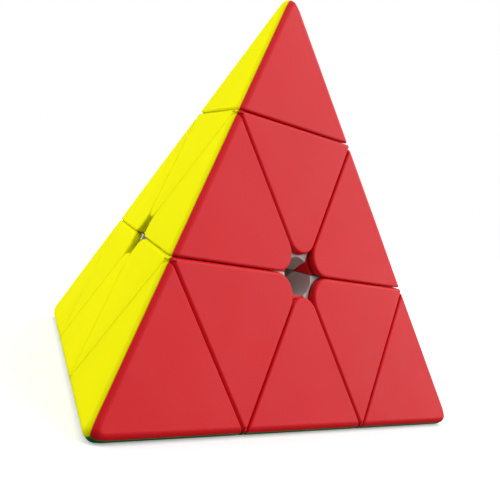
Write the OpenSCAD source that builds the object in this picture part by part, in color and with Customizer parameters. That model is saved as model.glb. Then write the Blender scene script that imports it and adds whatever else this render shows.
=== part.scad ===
// Pyramid twisty puzzle: a regular tetrahedron cut into four tips, four axial pieces and six
// edge pieces, which turn about the four lines from its centre to its corners.
// The origin is the centre of the ball core, where the four turning axes cross. +Z points at the
// top corner and the base face looks along -Z. Millimetres.

/* [Pyramid] */
// Edge of the pyramid, measured between its sharp corners
pyramid_edge = 300; // [294:2:306]
// Edge of each tip, measured to its sharp corner: a little over a third of the pyramid's edge
tip_edge = 102.4; // [101:0.2:103]
// Gap between pieces that turn past each other
turning_gap = 0.5; // [0.4:0.1:0.6]
// Rounding along the six long edges
edge_radius = 4.6; // [3.6:0.2:5.6]
// Ball that rounds each of the four corners
corner_radius = 5.2; // [4.8:0.2:6]
// Rounding of the six facet corners that leave the star hole in each face
star_radius = 11.5; // [10.5:0.5:12.5]

/* [Coloured caps] */
// Depth of the coloured caps below the faces
cap_depth = 4.6; // [4.2:0.2:5]
// Wall of the coloured caps
cap_wall = 2.6; // [2.2:0.2:3]
// Radius of the pegs that hold a cap on its body
peg_radius = 2.6; // [2.2:0.2:2.8]
// How far the pegs reach into the body
peg_reach = 5; // [4:0.5:6]

/* [Mechanism] */
// Radius of the ball core
core_radius = 26.6; // [26.2:0.1:26.8]
// Radius of the hollow ball inside the feet, which slides on the core
foot_inner_radius = 27; // [26.9:0.1:27.2]
// Radius of a layer's round foot, which the lips of the axial bodies hold down
foot_radius = 33.7; // [33.2:0.1:34]
// Wall of the hollow white bodies
body_wall = 3; // [2.6:0.2:3.4]
// Radius of the bore along each axial body, which holds the spring and the tip's post
axis_bore_radius = 9; // [8.6:0.2:9.4]
// Radius of the tension screws
screw_radius = 2.5; // [2:0.25:3]
// Number of turns in each tension spring
spring_turns = 6; // [4:1:7]

/* [Hidden] */

// Turning axes: top, left, right and back corner. Face i lies opposite corner i.
CORNER = ["top", "left", "right", "back"];
COLOUR = ["green", "blue", "yellow", "red"];
PAINT = ["#1f9a45", "#2457b8", "#f5f203", "#dd464d"];
AXIS = [
    [0, 0, 1],
    [-sqrt(2 / 3), -sqrt(2) / 3, -1 / 3],
    [sqrt(2 / 3), -sqrt(2) / 3, -1 / 3],
    [0, sqrt(8) / 3, -1 / 3]
];
ALL = [0, 1, 2, 3];
CORNER_FACES = [for (v = ALL) for (x = ALL) if (x != v) [v, x]];
EDGE_FACES = [for (v = ALL) for (w = ALL) if (w > v) for (x = ALL) if (x != v && x != w) [v, w, x]];

function corner_part(kind, p) = str(kind, "_", CORNER[p[0]], "_", COLOUR[p[1]]);
function edge_part(kind, p) = str(kind, "_", CORNER[p[0]], "_", CORNER[p[1]], "_", COLOUR[p[2]]);

// Distances from the centre along an axis: face planes, layer cuts and tip cuts
face_at = pyramid_edge * sqrt(6) / 12;
layer_cut = face_at / 3;
corner_at = 3 * face_at;
tip_cut = corner_at - tip_edge * sqrt(2 / 3);
edge_at = pyramid_edge / sqrt(8);
half_gap = turning_gap / 2;
seat_gap = 0.05;
block = 2 * pyramid_edge;
inner_face_at = face_at - cap_depth - 2 * seat_gap;

// Underside of a layer, turned round its axis: a neck below the cut, and a wider foot beneath it
neck_radius = foot_radius - 2.2;
foot_bottom = 12.85;
foot_height = 4.6;
axial_foot_trim = 3;
wing_trim = 0.2;
reach = 130;
seam_turn = 17;
shell_radius = 46;

// Stack along each axis, as distances from the centre
chamber_floor = 33;
spring_top = 50;
washer_thick = 1.6;
head_height = 4.5;
screw_end = 13;
tube_radius = axis_bore_radius + body_wall;
post_end = 84;
post_gap = 0.08;
groove_at = 88;
groove_height = 4.4;
groove_radius = axis_bore_radius + 1.3;
bead_radius = axis_bore_radius + 0.8;
well_radius = 11;

function others(used) = [for (v = ALL) if (len(search(v, used)) == 0) v];
function unit(v) = v / norm(v);
function sideways(n) = unit(cross(n, abs(n[0]) < 0.9 ? [1, 0, 0] : [0, 1, 0]));
function corner_point(v) = corner_at * AXIS[v];
function notch(v, w) = (2 * corner_point(v) + corner_point(w)) / 3;
function face_centre(x) = -face_at * AXIS[x];
function polar(radius, angle) = [radius * sin(angle), radius * cos(angle)];

// Puts children in a frame with its own origin, x direction and z direction
module place(origin, x, z) {
    y = cross(z, x);
    multmatrix([
        [x[0], y[0], z[0], origin[0]],
        [x[1], y[1], z[1], origin[1]],
        [x[2], y[2], z[2], origin[2]]
    ]) children();
}

// Puts children on axis v, with +Z outward
module on_axis(v) {
    place([0, 0, 0], sideways(AXIS[v]), AXIS[v]) children();
}

// Everything on the inner side of the plane with normal n at distance d
module below(n, d) {
    place(n * d, sideways(n), n) translate([-block / 2, -block / 2, -block]) cube(block);
}

// Convex solid inside a list of planes, each moved inward by inset
module inside(planes, inset = 0) {
    intersection_for(p = planes) below(p[0], p[1] - inset);
}

// Planes that bound the pieces
function face_plane(x, at = face_at) = [-AXIS[x], at];
function above_cut(v, at) = [-AXIS[v], -at - half_gap];
function below_cut(v, at) = [AXIS[v], at - half_gap];
function nearer(x, w) = [unit(AXIS[x] - AXIS[w]), -seat_gap];
function back_plane(x) = [AXIS[x], cap_depth - face_at];

// Solid of one layer: all that lies above its cut, with a neck and a foot round the core.
// grow enlarges it on every side, and trim takes the foot and neck in.
module layer(v, grow, trim = 0) {
    cut = layer_cut - grow;
    below(-AXIS[v], -cut);
    on_axis(v) rotate(seam_turn) {
        translate([0, 0, foot_bottom - grow])
            cylinder(h = foot_height + 2 * grow, r = foot_radius + grow - trim, $fn = 96);
        translate([0, 0, foot_bottom])
            cylinder(h = layer_cut + 2 - foot_bottom, r = neck_radius + grow - trim, $fn = 96);
    }
}

// Ball about the centre, turned so that its seam and poles lie clear of the bores
module ball(radius) {
    rotate([20, 35, seam_turn]) sphere(r = radius, $fn = 96);
}

// Material that the rounding takes off the long edge between corners v and w. The first and last
// facets of the arc run on past the faces, so that they cross them cleanly.
module edge_trim(v, w) {
    half_wedge = acos(1 / 3) / 2;
    centre = edge_radius / sin(half_wedge);
    steps = 6;
    arc = [for (i = [0:steps])
        let (t = 90 + half_wedge + i * (180 - 2 * half_wedge) / steps)
        [centre + edge_radius * cos(t), edge_radius * sin(t)]];
    first = 2 * arc[0] - arc[1];
    last = 2 * arc[steps] - arc[steps - 1];
    profile = concat([first], [for (i = [1:steps - 1]) arc[i]],
        [last, [last[0], -centre], [-centre, -centre], [-centre, centre], [first[0], centre]]);
    outward = unit(AXIS[v] + AXIS[w]);
    place(edge_at * outward, -outward, unit(AXIS[v] - AXIS[w]))
        translate([0, 0, -block / 2]) linear_extrude(block) polygon(profile);
}

// Ball nose that a corner is trimmed to, widening below into a cone clear of the long edges
module corner_nose(v) {
    steps = 8;
    ball_at = corner_at - 3 * corner_radius;
    nose = [for (i = [0:steps]) polar(corner_radius, 45 * i / steps) + [0, ball_at]];
    on_axis(v) rotate_extrude($fn = 64)
        polygon(concat(nose, [nose[steps] + [reach, -reach], [0, nose[steps][1] - reach]]));
}

// Star-shaped hole at the centre of face x, between six rounded facet corners
module star_hole(x, grow = 0) {
    steps = 6;
    centre = (star_radius + half_gap + 0.1) / sin(30);
    radius = star_radius - grow;
    outline = [for (k = [0:5]) for (i = [0:steps])
        let (a = 60 * k + 30, t = a + 180 + 60 - i * 120 / steps)
        centre * [cos(a), sin(a)] + radius * [cos(t), sin(t)]];
    pair = others([x]);
    place(face_centre(x), unit(AXIS[pair[0]] - AXIS[pair[1]]), -AXIS[x])
        translate([0, 0, -cap_depth - 1]) linear_extrude(cap_depth + 2) polygon(outline);
}

// Places children at spots on face x, with +Z into the body
module at_spots(x, spots) {
    for (spot = spots) place(spot, sideways(AXIS[x]), AXIS[x]) children();
}

module pegs(x, spots) {
    at_spots(x, spots) translate([0, 0, cap_wall - 0.4])
        cylinder(h = cap_depth - cap_wall + 0.4 + peg_reach, r = peg_radius, $fn = 32);
}

module peg_holes(x, spots) {
    at_spots(x, spots) translate([0, 0, cap_depth - 1])
        cylinder(h = peg_reach + 2, r = peg_radius + seat_gap, $fn = 32);
}

// Peg places on each kind of facet, clear of the pegs that come in from the next face
function axial_spots(v, x) = let (o = others([v, x]),
    corners = [notch(v, o[0]), notch(v, o[1]), face_centre(x)],
    middle = (corners[0] + corners[1] + corners[2]) / 3)
    [for (c = corners) 0.7 * middle + 0.3 * c];
function edge_spots(v, w, x) = let (
    middle = (notch(v, w) + notch(w, v) + face_centre(x)) / 3,
    along = unit(AXIS[v] - AXIS[w]),
    inward = unit(face_centre(x) - middle))
    [middle - 14 * along, middle + 14 * along, middle + 12 * inward];
function tip_spots(v, x) = let (o = others([v, x]),
    foot = (notch(v, o[0]) + notch(v, o[1])) / 2,
    middle = (2 * foot + corner_point(v)) / 3,
    along = unit(AXIS[o[0]] - AXIS[o[1]]),
    down = unit(foot - middle))
    [middle + 14 * down - 6 * along, middle + 14 * down + 6 * along];

// One coloured cap of an axial piece: an open tray on face x with three pegs
module axial_cap(v, x) {
    o = others([v, x]);
    planes = [face_plane(x), above_cut(v, layer_cut), below_cut(v, tip_cut),
        below_cut(o[0], layer_cut), below_cut(o[1], layer_cut), nearer(x, o[0]), nearer(x, o[1])];
    color(PAINT[x]) union() {
        difference() {
            inside(concat(planes, [back_plane(x)]));
            difference() {
                inside(planes, cap_wall);
                star_hole(x, cap_wall);
            }
            star_hole(x);
            edge_trim(v, o[0]);
            edge_trim(v, o[1]);
        }
        pegs(x, axial_spots(v, x));
    }
}

// One coloured cap of an edge piece
module edge_cap(v, w, x) {
    u = others([v, w, x])[0];
    planes = [face_plane(x), above_cut(v, layer_cut), above_cut(w, layer_cut), nearer(x, u)];
    color(PAINT[x]) union() {
        difference() {
            inside(concat(planes, [back_plane(x)]));
            difference() {
                inside(planes, cap_wall);
                star_hole(x, cap_wall);
            }
            star_hole(x);
            edge_trim(v, w);
        }
        pegs(x, edge_spots(v, w, x));
    }
}

// One coloured cap of a tip
module tip_cap(v, x) {
    o = others([v, x]);
    planes = [face_plane(x), above_cut(v, tip_cut), nearer(x, o[0]), nearer(x, o[1])];
    color(PAINT[x]) union() {
        difference() {
            intersection() {
                inside(concat(planes, [back_plane(x)]));
                corner_nose(v);
            }
            inside(planes, cap_wall);
            edge_trim(v, o[0]);
            edge_trim(v, o[1]);
        }
        pegs(x, tip_spots(v, x));
    }
}

// Round well under the star hole of face x, down to the core
module star_well(x, grow = 0) {
    place([0, 0, 0], sideways(AXIS[x]), -AXIS[x])
        translate([0, 0, core_radius - 6]) cylinder(h = face_at, r = well_radius + grow, $fn = 48);
}

// White body of an axial piece: hollow, with a bore for its screw, spring and tip post
module axial_body(v) {
    inner_faces = [for (x = others([v])) face_plane(x, inner_face_at)];
    hollow_planes = concat(inner_faces, [above_cut(v, layer_cut), below_cut(v, tip_cut)],
        [for (w = others([v])) below_cut(w, layer_cut)]);
    color("white") difference() {
        intersection() {
            inside(concat(inner_faces, [below_cut(v, tip_cut)]));
            layer(v, -half_gap, axial_foot_trim);
        }
        for (w = others([v])) layer(w, half_gap);
        on_axis(v) sphere(r = foot_inner_radius, $fn = 96);
        for (x = others([v])) star_well(x);
        difference() {
            inside(hollow_planes, body_wall);
            on_axis(v) sphere(r = shell_radius, $fn = 96);
            on_axis(v) cylinder(h = tip_cut, r = tube_radius, $fn = 48);
            for (x = others([v])) star_well(x, body_wall);
        }
        on_axis(v) cylinder(h = tip_cut, r = screw_radius + 0.3, $fn = 32);
        on_axis(v) translate([0, 0, chamber_floor])
            cylinder(h = tip_cut, r = axis_bore_radius, $fn = 48);
        on_axis(v) translate([0, 0, groove_at])
            cylinder(h = groove_height, r = groove_radius, $fn = 48);
        for (x = others([v])) peg_holes(x, axial_spots(v, x));
    }
}

// Half of an edge piece's foot, in the colour of face x. The two halves are welded along the middle
// of the piece, and their wings run under the lips of the axial bodies.
module edge_foot(v, w, x) {
    u = others([v, w, x])[0];
    inner_faces = [face_plane(x, inner_face_at), face_plane(u, inner_face_at)];
    color(PAINT[x]) difference() {
        intersection() {
            inside(concat(inner_faces, [nearer(x, u)]));
            layer(v, -half_gap);
            layer(w, -half_gap, wing_trim);
        }
        ball(foot_inner_radius);
        star_well(x);
        difference() {
            inside(concat(inner_faces, [above_cut(v, layer_cut), above_cut(w, layer_cut)]), body_wall);
            ball(shell_radius);
            star_well(x, body_wall);
        }
        peg_holes(x, edge_spots(v, w, x));
    }
}

// White core of a tip, with a split post that snaps into the axial body
module tip_pivot(v) {
    inner_faces = [for (x = others([v])) face_plane(x, inner_face_at)];
    post_radius = axis_bore_radius - post_gap;
    bead_at = groove_at + 0.4;
    slot = 1.8;
    color("white") difference() {
        union() {
            inside(concat(inner_faces, [above_cut(v, tip_cut)]));
            on_axis(v) translate([0, 0, post_end])
                cylinder(h = tip_cut + 2 - post_end, r = post_radius, $fn = 48);
            on_axis(v) translate([0, 0, bead_at])
                cylinder(h = groove_height - 0.8, r1 = post_radius, r2 = bead_radius, $fn = 48);
        }
        on_axis(v) translate([0, 0, post_end - 1])
            cylinder(h = tip_cut - post_end, r = post_radius - 2.6, $fn = 48);
        on_axis(v) for (turn = [0, 90]) rotate(turn)
            translate([-block / 2, -slot / 2, post_end - 1]) cube([block, slot, tip_cut - post_end - 1]);
        for (x = others([v])) peg_holes(x, tip_spots(v, x));
    }
}

// Ball core with four pilot holes for the screws and four lightening holes under the star wells
module core() {
    color("white") difference() {
        sphere(r = core_radius, $fn = 96);
        for (v = ALL) {
            on_axis(v) translate([0, 0, screw_end - 1])
                cylinder(h = core_radius, r = screw_radius + seat_gap, $fn = 32);
            place([0, 0, 0], sideways(AXIS[v]), -AXIS[v])
                translate([0, 0, core_radius - 8]) cylinder(h = 10, r = 4, $fn = 32);
        }
    }
}

// Four tension screws with a cross recess, one along each axis
module tension_screws() {
    head_at = spring_top + washer_thick + 2 * seat_gap;
    recess = 2.2;
    color("silver") for (v = ALL) on_axis(v) difference() {
        union() {
            translate([0, 0, screw_end])
                cylinder(h = head_at + 1 - screw_end, r = screw_radius, $fn = 32);
            translate([0, 0, head_at])
                cylinder(h = head_height, r1 = 2 * screw_radius + 0.6, r2 = 2 * screw_radius - 0.4, $fn = 32);
        }
        for (turn = [0, 90]) rotate(turn)
            translate([-screw_radius - 0.5, -0.6, head_at + head_height - recess])
                cube([2 * screw_radius + 1, 1.2, recess + 1]);
    }
}

// Four flat washers between the springs and the screw heads
module washers() {
    color("silver") for (v = ALL) on_axis(v) translate([0, 0, spring_top + seat_gap]) difference() {
        cylinder(h = washer_thick, r = axis_bore_radius - 0.9, $fn = 48);
        translate([0, 0, -1]) cylinder(h = washer_thick + 2, r = screw_radius + 0.2, $fn = 32);
    }
}

// Coil spring: a round wire swept along a helix
module spring(coil_radius, wire_radius, height, turns) {
    sides = 6;
    per_turn = 18;
    rings = per_turn * turns;
    points = [for (i = [0:rings]) for (k = [0:sides - 1])
        let (a = 360 * i / per_turn, b = 360 * k / sides,
            out = coil_radius + wire_radius * cos(b), rise = wire_radius * sin(b))
        [out * cos(a), out * sin(a), wire_radius + (height - 2 * wire_radius) * i / rings + rise]];
    walls = [for (i = [0:rings - 1]) for (k = [0:sides - 1])
        let (n = (k + 1) % sides) [i * sides + k, (i + 1) * sides + k, (i + 1) * sides + n, i * sides + n]];
    ends = [[for (k = [0:sides - 1]) k], [for (k = [0:sides - 1]) rings * sides + sides - 1 - k]];
    polyhedron(points, concat(walls, ends));
}

module tension_springs() {
    wire = 0.9;
    color("silver") for (v = ALL) on_axis(v) translate([0, 0, chamber_floor + seat_gap])
        spring(axis_bore_radius - wire - 1.2, wire, spring_top - chamber_floor - 2 * seat_gap, spring_turns);
}

core();
tension_screws();
tension_springs();
washers();
for (v = ALL) {
    axial_body(v);
    tip_pivot(v);
}
for (p = CORNER_FACES) {
    axial_cap(p[0], p[1]);
    tip_cap(p[0], p[1]);
}
for (p = EDGE_FACES) {
    edge_foot(p[0], p[1], p[2]);
    edge_cap(p[0], p[1], p[2]);
}
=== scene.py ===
"""Looks of the pyramid twisty puzzle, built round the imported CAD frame. Metres, +Z up.

The 36 coloured caps are modelled here with their real rounding. The white bodies, the core and the
steel fasteners inside are the CAD's own solids with procedural materials.
"""
import math

import bmesh
import bpy
from mathutils import Matrix, Vector


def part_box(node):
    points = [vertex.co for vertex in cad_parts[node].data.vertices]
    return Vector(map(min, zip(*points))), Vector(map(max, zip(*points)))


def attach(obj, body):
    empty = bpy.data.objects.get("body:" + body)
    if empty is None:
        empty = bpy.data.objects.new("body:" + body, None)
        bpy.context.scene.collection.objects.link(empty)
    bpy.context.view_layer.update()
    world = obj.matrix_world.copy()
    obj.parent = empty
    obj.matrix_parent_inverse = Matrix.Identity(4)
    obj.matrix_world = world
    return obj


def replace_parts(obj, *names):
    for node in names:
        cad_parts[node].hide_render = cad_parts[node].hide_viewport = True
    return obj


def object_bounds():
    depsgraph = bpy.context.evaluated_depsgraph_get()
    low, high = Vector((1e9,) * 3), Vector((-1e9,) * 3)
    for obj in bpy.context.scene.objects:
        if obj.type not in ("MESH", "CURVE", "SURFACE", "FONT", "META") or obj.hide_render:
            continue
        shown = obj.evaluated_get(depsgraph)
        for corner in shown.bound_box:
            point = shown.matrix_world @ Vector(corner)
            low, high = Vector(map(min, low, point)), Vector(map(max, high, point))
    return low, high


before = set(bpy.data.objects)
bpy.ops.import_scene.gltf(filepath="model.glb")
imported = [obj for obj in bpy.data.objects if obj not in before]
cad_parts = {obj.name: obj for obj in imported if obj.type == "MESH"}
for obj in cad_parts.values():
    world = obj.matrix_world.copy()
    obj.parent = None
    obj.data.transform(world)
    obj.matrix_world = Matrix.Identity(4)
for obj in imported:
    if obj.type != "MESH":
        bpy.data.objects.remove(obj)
cad_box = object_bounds()
MM = 0.001

# ---------------------------------------------------------------- sizes, worked out from the frame
CORNER = ["top", "left", "right", "back"]
COLOUR = ["green", "blue", "yellow", "red"]  # face i lies opposite corner i
AXIS = [
    Vector((0, 0, 1)),
    Vector((-math.sqrt(2 / 3), -math.sqrt(2) / 3, -1 / 3)),
    Vector((math.sqrt(2 / 3), -math.sqrt(2) / 3, -1 / 3)),
    Vector((0, math.sqrt(8) / 3, -1 / 3)),
]
ALL = range(4)
CUT_SINE = math.sqrt(8) / 3  # sine of the angle between a cut and a face
CUT_LEAN = 1 / math.sqrt(8)  # how far a cut leans from square to a face, as a slope
FACE_AT = -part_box("edge_cap_left_right_green")[0][2]
EDGE = FACE_AT * 12 / math.sqrt(6)
LAYER_CUT = FACE_AT / 3
CORNER_AT = 3 * FACE_AT
HALF_GAP = 0.25 * MM  # half the gap between pieces that turn past each other
TIP_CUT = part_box("tip_cap_top_red")[0][2] - HALF_GAP
CAP_DEPTH = 4.6 * MM
SEAT_GAP = 0.05 * MM  # half the gap between two caps of one piece
LONG_EDGE_RADIUS = 4.6 * MM
CORNER_RADIUS = 5.2 * MM
STAR_RADIUS = 11.5 * MM
STAR_HALF_TURN = math.radians(60)  # each way from the middle of a corner at the star hole
SIDE_CORNER = 2.4 * MM  # widest rounding, between two cuts
LIP = 1.8 * MM  # rounding between a facet and a cut
PARTING_LIP = 0.3 * MM  # rounding along the parting line between two colours
FLOOR_DROP = 0.3 * MM  # keeps the floor out of the plane of the base caps

# Kinds of surface on a cap, kept as material indices while it is cut out
FACET, ROUND, CUT, STAR, PARTING, BACK = range(6)


def others(used):
    return [v for v in ALL if v not in used]


# ---------------------------------------------------------------- planes that bound a cap
# Each is (normal, distance from the centre, kind): the cap lies on the inner side.
def face_plane(x):
    return (-AXIS[x], FACE_AT, FACET)


def back_plane(x):
    return (AXIS[x].copy(), CAP_DEPTH - FACE_AT, BACK)


def above_cut(v, at):
    return (-AXIS[v], -at - HALF_GAP, CUT)


def below_cut(v, at):
    return (AXIS[v].copy(), at - HALF_GAP, CUT)


def parting(x, w):
    return ((AXIS[x] - AXIS[w]).normalized(), -SEAT_GAP, PARTING)


def long_edge_rounding(x, w):
    """Facets of the rounding that face x shares with face w, up to the parting line between them."""
    v, u = others([x, w])
    mid_edge = (AXIS[v] + AXIS[u]) * CORNER_AT / 2
    outward = mid_edge.normalized()
    centre = mid_edge - outward * LONG_EDGE_RADIUS / math.sin(math.acos(1 / 3) / 2)
    start = -AXIS[x]
    half_arc = start.angle(outward)
    axis = start.cross(outward).normalized()
    steps = 6
    planes = []
    for i in range(steps):
        n = Matrix.Rotation((i + 0.5) * half_arc / steps, 3, axis) @ start
        planes.append((n, n.dot(centre) + LONG_EDGE_RADIUS, ROUND))
    return planes


def corner_ball(v, x):
    """Facets of the ball that rounds corner v, on the side of face x. Directions square to a long edge
    are left out, because their planes would shave its whole length."""
    centre = AXIS[v] * (CORNER_AT - 3 * CORNER_RADIUS)
    w, u = others([v, x])
    steps = 14
    planes = []
    for i in range(1, steps):
        for j in range(1, steps - i):
            k = steps - i - j
            if k >= i - 1 and k >= j - 1:
                n = -(AXIS[x] * k + AXIS[w] * i + AXIS[u] * j).normalized()
                planes.append((n, n.dot(centre) + CORNER_RADIUS, ROUND))
    return planes


def star_corner(x, towards, cut_lean):
    """Facets of the rounded corner that a cap turns to the star hole of face x; towards points into the
    cap. The wall is square to the face in the middle and leans as the two cuts do at its ends."""
    normal = -AXIS[x]
    inward = (towards - normal * towards.dot(normal)).normalized()
    to_centre = (STAR_RADIUS + HALF_GAP / CUT_SINE) / math.cos(STAR_HALF_TURN)
    centre = normal * FACE_AT + inward * to_centre
    steps = 14
    planes = []
    for i in range(steps):
        turn = STAR_HALF_TURN * ((2 * i + 1) / steps - 1)
        side = Matrix.Rotation(turn, 3, normal) @ -inward
        n = (side + normal * cut_lean * (turn / STAR_HALF_TURN) ** 2).normalized()
        planes.append((n, n.dot(centre + side * STAR_RADIUS), STAR))
    return planes


# ---------------------------------------------------------------- mesh work
def cut_out(planes):
    """The convex solid inside all the planes; each face keeps its plane's kind as its material index."""
    bm = bmesh.new()
    bmesh.ops.create_cube(bm, size=4 * EDGE)
    for n, d, kind in planes:
        made = bmesh.ops.bisect_plane(
            bm, geom=bm.verts[:] + bm.edges[:] + bm.faces[:], dist=1e-8,
            plane_co=n * d, plane_no=n, clear_outer=True,
        )
        rim = [e for e in made["geom_cut"] if isinstance(e, bmesh.types.BMEdge)]
        if len(rim) > 2:
            for f in bmesh.ops.edgenet_fill(bm, edges=rim)["faces"]:
                f.material_index = kind
    bmesh.ops.dissolve_degenerate(bm, dist=2e-6, edges=bm.edges[:])
    bmesh.ops.recalc_face_normals(bm, faces=bm.faces[:])
    return bm


def lip_weight(edge):
    """Share of the widest rounding that an edge gets, from the kinds of its two faces."""
    kinds = {f.material_index for f in edge.link_faces}
    if kinds & {FACET, ROUND} and kinds & {CUT, STAR}:
        return LIP / SIDE_CORNER
    if PARTING in kinds and kinds & {FACET, ROUND, CUT}:
        return PARTING_LIP / SIDE_CORNER
    if kinds == {CUT} and len(edge.link_faces) == 2 and edge.calc_face_angle() > 0.6:
        return 1.0
    return 0.0


def make_cap(name, planes, body, x):
    bm = cut_out(planes)
    weights = bm.edges.layers.float.new("bevel_weight_edge")
    for e in bm.edges:
        e[weights] = lip_weight(e)
    for f in bm.faces:
        f.material_index = 0
        f.smooth = True
    mesh = bpy.data.meshes.new(name)
    bm.to_mesh(mesh)
    bm.free()
    piece = bpy.data.objects.new(name, mesh)
    bpy.context.scene.collection.objects.link(piece)
    mesh.materials.append(PLASTIC[COLOUR[x]])
    lip = piece.modifiers.new("lip", "BEVEL")
    lip.limit_method = "WEIGHT"
    lip.width = SIDE_CORNER
    lip.segments = 4
    lip.use_clamp_overlap = False
    shade = piece.modifiers.new("shade", "WEIGHTED_NORMAL")
    shade.mode = "FACE_AREA"
    shade.weight = 80
    shade.keep_sharp = False
    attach(piece, body)
    return piece


def layer_body(v):
    return "top_layer" if v == 0 else "core_body"


def axial_cap(v, x):
    w, u = others([v, x])
    planes = [face_plane(x), back_plane(x), above_cut(v, LAYER_CUT), below_cut(v, TIP_CUT),
              below_cut(w, LAYER_CUT), below_cut(u, LAYER_CUT), parting(x, w), parting(x, u)]
    planes += star_corner(x, AXIS[v], CUT_LEAN)
    planes += long_edge_rounding(x, w) + long_edge_rounding(x, u)
    node = f"axial_cap_{CORNER[v]}_{COLOUR[x]}"
    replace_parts(make_cap("shell_" + node, planes, layer_body(v), x), node)


def edge_cap(v, w, x):
    u = others([v, w, x])[0]
    planes = [face_plane(x), back_plane(x), above_cut(v, LAYER_CUT), above_cut(w, LAYER_CUT), parting(x, u)]
    planes += star_corner(x, AXIS[v] + AXIS[w], -CUT_LEAN) + long_edge_rounding(x, u)
    node = f"edge_cap_{CORNER[v]}_{CORNER[w]}_{COLOUR[x]}"
    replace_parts(make_cap("shell_" + node, planes, layer_body(v), x), node)


def tip_cap(v, x):
    w, u = others([v, x])
    planes = [face_plane(x), back_plane(x), above_cut(v, TIP_CUT), parting(x, w), parting(x, u)]
    planes += long_edge_rounding(x, w) + long_edge_rounding(x, u) + corner_ball(v, x)
    node = f"tip_cap_{CORNER[v]}_{COLOUR[x]}"
    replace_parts(make_cap("shell_" + node, planes, "tip_" + CORNER[v], x), node)


# ---------------------------------------------------------------- materials
def new_material(name):
    mat = bpy.data.materials.new(name)
    mat.use_nodes = True
    nodes = mat.node_tree.nodes
    return mat, nodes, mat.node_tree.links, nodes["Principled BSDF"]


def noise(nodes, links, coords, scale, detail=3.0):
    tex = nodes.new("ShaderNodeTexNoise")
    tex.inputs["Scale"].default_value = scale
    tex.inputs["Detail"].default_value = detail
    links.new(coords, tex.inputs["Vector"])
    return tex.outputs["Fac"]


def between(nodes, links, value, low, high):
    """Maps a texture value round 0.5 to low..high."""
    m = nodes.new("ShaderNodeMapRange")
    m.inputs["From Min"].default_value = 0.3
    m.inputs["From Max"].default_value = 0.7
    m.inputs["To Min"].default_value = low
    m.inputs["To Max"].default_value = high
    links.new(value, m.inputs["Value"])
    return m.outputs["Result"]


def mix_colour(nodes, links, factor, first, second):
    m = nodes.new("ShaderNodeMix")
    m.data_type = "RGBA"
    for socket, value in (("A", first), ("B", second)):
        target = next(s for s in m.inputs if s.name == socket and s.type == "RGBA")
        if hasattr(value, "links"):
            links.new(value, target)
        else:
            target.default_value = (*value, 1)
    links.new(factor, m.inputs["Factor"])
    return next(s for s in m.outputs if s.type == "RGBA")


def shade_of(colour, factor):
    return tuple(min(1.0, c * factor) for c in colour)


def plastic(name, colour, rough, highlight_gain=1.1, ior=1.25):
    """Satin moulded plastic: a faint mottle, fine grain, a painted highlight that lightens the sharp convex
    edges, and small handling marks.
    """
    mat, nodes, links, bsdf = new_material(name)
    coords = nodes.new("ShaderNodeTexCoord").outputs["Object"]
    mottle = between(nodes, links, noise(nodes, links, coords, 14), 0, 1)
    base = mix_colour(nodes, links, mottle, shade_of(colour, 0.975), shade_of(colour, 1.025))
    # Painted highlight: sharp convex edges, found by pointiness, get a lighter copy of the colour.
    pointiness = nodes.new("ShaderNodeNewGeometry").outputs["Pointiness"]
    highlight_mask = nodes.new("ShaderNodeMapRange")
    highlight_mask.inputs["From Min"].default_value = 0.52
    highlight_mask.inputs["From Max"].default_value = 0.62
    highlight_mask.inputs["To Max"].default_value = 0.35
    links.new(pointiness, highlight_mask.inputs["Value"])
    highlit_base = mix_colour(nodes, links, highlight_mask.outputs["Result"], base, shade_of(colour, highlight_gain))
    links.new(highlit_base, bsdf.inputs["Base Color"])
    links.new(between(nodes, links, noise(nodes, links, coords, 45, 5), rough - 0.04, rough + 0.05),
              bsdf.inputs["Roughness"])
    bsdf.inputs["IOR"].default_value = ior
    grain = nodes.new("ShaderNodeBump")
    grain.inputs["Strength"].default_value = 0.10
    grain.inputs["Distance"].default_value = 0.00006
    links.new(noise(nodes, links, coords, 2600, 2), grain.inputs["Height"])
    links.new(grain.outputs["Normal"], bsdf.inputs["Normal"])
    return mat


def steel(name):
    """Zinc-plated steel with fine turning marks."""
    mat, nodes, links, bsdf = new_material(name)
    coords = nodes.new("ShaderNodeTexCoord").outputs["Object"]
    cloud = between(nodes, links, noise(nodes, links, coords, 120, 4), 0, 1)
    plating = mix_colour(nodes, links, cloud, (0.52, 0.52, 0.54), (0.66, 0.66, 0.68))
    links.new(plating, bsdf.inputs["Base Color"])
    links.new(between(nodes, links, noise(nodes, links, coords, 600, 3), 0.24, 0.4), bsdf.inputs["Roughness"])
    bsdf.inputs["Metallic"].default_value = 1.0
    marks = nodes.new("ShaderNodeBump")
    marks.inputs["Strength"].default_value = 0.15
    marks.inputs["Distance"].default_value = 0.00005
    links.new(noise(nodes, links, coords, 3000, 2), marks.inputs["Height"])
    links.new(marks.outputs["Normal"], bsdf.inputs["Normal"])
    return mat


# The number after the roughness, where given, is how much the painted edge highlight lightens the colour.
PLASTIC = {
    "red": plastic("red_plastic", (0.84, 0.010, 0.018), 0.42),
    "yellow": plastic("yellow_plastic", (0.95, 0.92, 0.001), 0.5, 1.02, 1.05),
    "blue": plastic("blue_plastic", (0.012, 0.075, 0.42), 0.42, 1.3),
    "green": plastic("green_plastic", (0.012, 0.27, 0.045), 0.42, 1.25),
    "white": plastic("white_plastic", (0.66, 0.63, 0.6), 0.5, 1.05),
}
STEEL = steel("zinc_steel")


def paint_cad_nodes():
    """Gives every CAD node that stays its finish."""
    for name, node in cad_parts.items():
        if "_cap_" in name:
            continue
        if name in ("tension_screws", "tension_springs", "washers"):
            finish = STEEL
        elif name.startswith("edge_foot_"):
            finish = PLASTIC[name.split("_")[-1]]
        else:
            finish = PLASTIC["white"]
        for s in node.material_slots:
            s.material = finish


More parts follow.
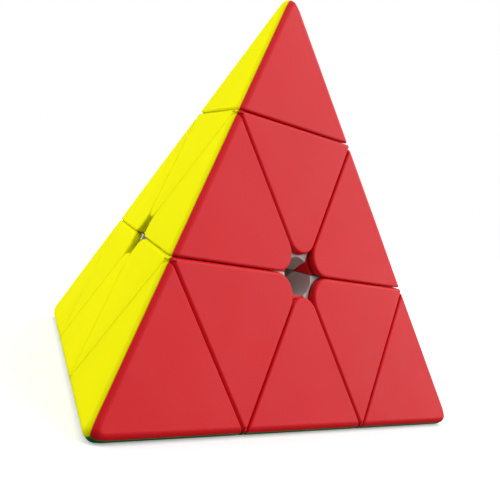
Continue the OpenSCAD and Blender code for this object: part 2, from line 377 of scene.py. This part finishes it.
# ---------------------------------------------------------------- stage
def panel(name, towards, distance, side, brightness):
    """A square soft panel of even brightness in the given direction from the puzzle, facing it."""
    data = bpy.data.lights.new(name, "AREA")
    data.shape = "SQUARE"
    data.size = side
    data.energy = brightness * math.pi * side * side
    lamp = bpy.data.objects.new(name, data)
    direction = Vector(towards).normalized()
    lamp.location = direction * distance
    lamp.rotation_euler = direction.to_track_quat("Z", "Y").to_euler()
    bpy.context.scene.collection.objects.link(lamp)


def when_seen(nodes):
    """1 for what the camera sees directly, 0 for light on its way to the puzzle."""
    return nodes.new("ShaderNodeLightPath").outputs["Is Camera Ray"]


def white_world():
    """Plain white to look at, and a dim white for the light that it gives."""
    world = bpy.data.worlds.new("studio")
    world.use_nodes = True
    nodes, links = world.node_tree.nodes, world.node_tree.links
    strength = nodes.new("ShaderNodeMapRange")
    strength.inputs["To Min"].default_value = 0.18
    strength.inputs["To Max"].default_value = 1.0
    links.new(when_seen(nodes), strength.inputs["Value"])
    links.new(strength.outputs["Result"], nodes["Background"].inputs["Strength"])
    nodes["Background"].inputs["Color"].default_value = (1, 1, 1, 1)
    bpy.context.scene.world = world


def pale_floor():
    """A wide plain floor, white to look at, which throws little light up under the puzzle. What the camera
    sees of it also carries a painted glow, weak near the puzzle and strong further out.
    """
    mesh = bpy.data.meshes.new("floor")
    half = 8.0
    corners = [(-half, -half, 0), (half, -half, 0), (half, half, 0), (-half, half, 0)]
    mesh.from_pydata(corners, [], [(0, 1, 2, 3)])
    floor = bpy.data.objects.new("floor", mesh)
    floor.location.z = cad_box[0][2] - FLOOR_DROP
    bpy.context.scene.collection.objects.link(floor)
    mat, nodes, links, bsdf = new_material("pale_floor")
    coords = nodes.new("ShaderNodeTexCoord").outputs["Object"]
    tone = between(nodes, links, noise(nodes, links, coords, 3), 0, 1)
    pale = mix_colour(nodes, links, tone, (0.9, 0.9, 0.9), (0.92, 0.92, 0.92))
    seen = when_seen(nodes)
    links.new(mix_colour(nodes, links, seen, (0.13, 0.13, 0.13), pale), bsdf.inputs["Base Color"])
    bsdf.inputs["Roughness"].default_value = 1.0
    bsdf.inputs["Specular IOR Level"].default_value = 0.0
    # Painted glow: for the camera the floor gives off light of its own, weak near the puzzle and strong
    # further out.
    distance = nodes.new("ShaderNodeVectorMath")
    distance.operation = "LENGTH"
    links.new(coords, distance.inputs[0])
    painted_glow_ramp = nodes.new("ShaderNodeMapRange")
    painted_glow_ramp.inputs["From Min"].default_value = 0.4
    painted_glow_ramp.inputs["From Max"].default_value = 1.4
    painted_glow_ramp.inputs["To Min"].default_value = 0.3
    painted_glow_ramp.inputs["To Max"].default_value = 0.9
    links.new(distance.outputs["Value"], painted_glow_ramp.inputs["Value"])
    painted_glow = nodes.new("ShaderNodeMath")
    painted_glow.operation = "MULTIPLY"
    links.new(painted_glow_ramp.outputs["Result"], painted_glow.inputs[0])
    links.new(seen, painted_glow.inputs[1])
    links.new(painted_glow.outputs[0], bsdf.inputs["Emission Strength"])
    bsdf.inputs["Emission Color"].default_value = (1, 1, 1, 1)
    mesh.materials.append(mat)


def stage():
    white_world()
    pale_floor()
    panel("red_side", (0.72, -0.58, 0.42), 2.8, 3.6, 1.9)
    panel("front_top", (0.4, -0.7, 0.62), 2.8, 3.0, 0.55)
    panel("yellow_side", (-0.65, 0.75, 0.25), 2.6, 3.2, 2.9)
    panel("blue_side", (0.9, 0.35, 0.45), 1.8, 1.8, 1.0)
    panel("overhead", (-0.1, 0.1, 1), 1.8, 2.0, 0.9)
    view = bpy.context.scene.view_settings
    view.view_transform = "Standard"
    view.look = "None"


def camera():
    """Looks at the long edge between the top and left corners, from just above the middle."""
    data = bpy.data.cameras.new("camera")
    data.sensor_width = 36
    data.lens = 63.45
    data.clip_end = 50
    eye = bpy.data.objects.new("camera", data)
    back = -Vector((0.7205, 0.6907, -0.0633)).normalized()
    right = Vector((-0.1097, 0.2054, 0.9725)).cross(back).normalized()
    turn = Matrix((right, back.cross(right), back)).transposed()
    eye.matrix_world = Matrix.Translation(Vector((-1.2444, -1.2367, 0.1942)) * EDGE) @ turn.to_4x4()
    bpy.context.scene.collection.objects.link(eye)
    bpy.context.scene.camera = eye


camera()
stage()
paint_cad_nodes()
for v in ALL:
    for x in others([v]):
        axial_cap(v, x)
        tip_cap(v, x)
    for w in range(v + 1, 4):
        for x in others([v, w]):
            edge_cap(v, w, x)
